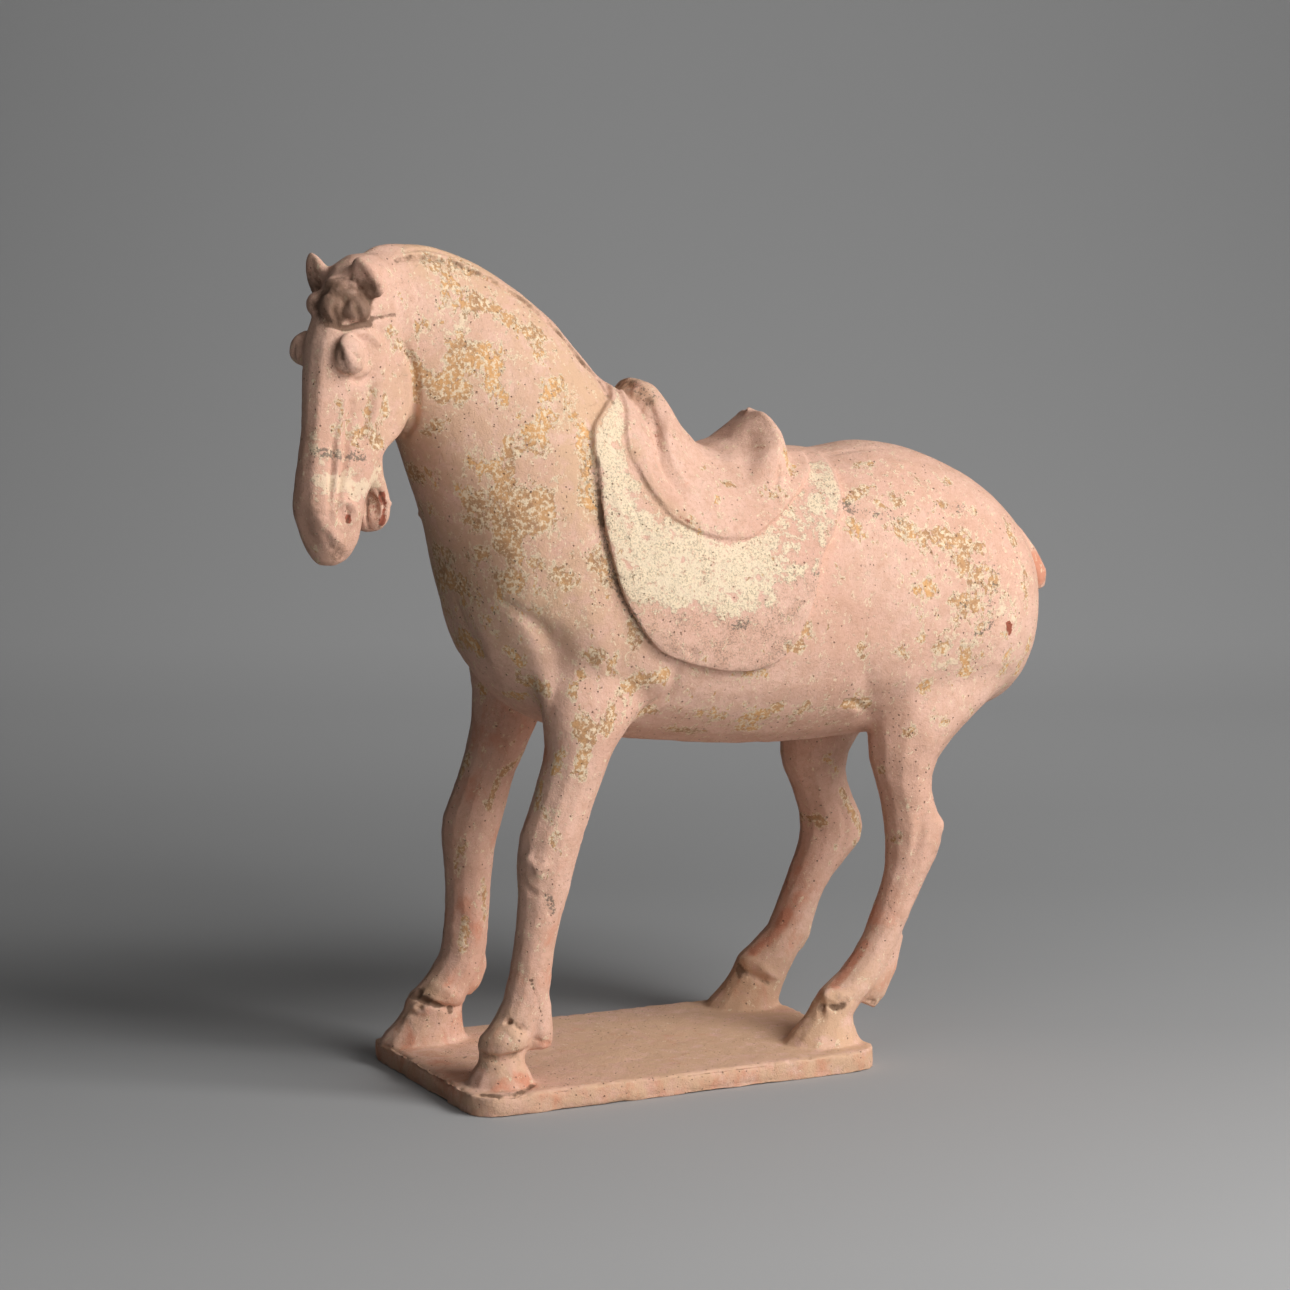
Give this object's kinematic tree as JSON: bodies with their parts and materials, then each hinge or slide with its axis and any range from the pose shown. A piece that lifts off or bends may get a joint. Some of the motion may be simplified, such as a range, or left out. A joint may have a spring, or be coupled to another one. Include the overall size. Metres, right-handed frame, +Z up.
{
  "type": "tomb horse figure",
  "caption": "Standing pottery tomb horse with a saddle, saddle cloth and hogged mane, its head turned aside, on a thin slab, in worn pale paint over pink clay.",
  "frame": {"origin": "middle of the slab's underside, which is the face the figure stands on", "axes": "+Z up, the horse faces -X, its left side is towards -Y"},
  "size_m": [0.5406, 0.1721, 0.5186],
  "materials": {
    "painted_clay": "matt unglazed clay with worn pink and cream paint"
  },
  "bodies": {
    "root": {"tomb_horse": "painted_clay"}
  },
  "joints": []
}
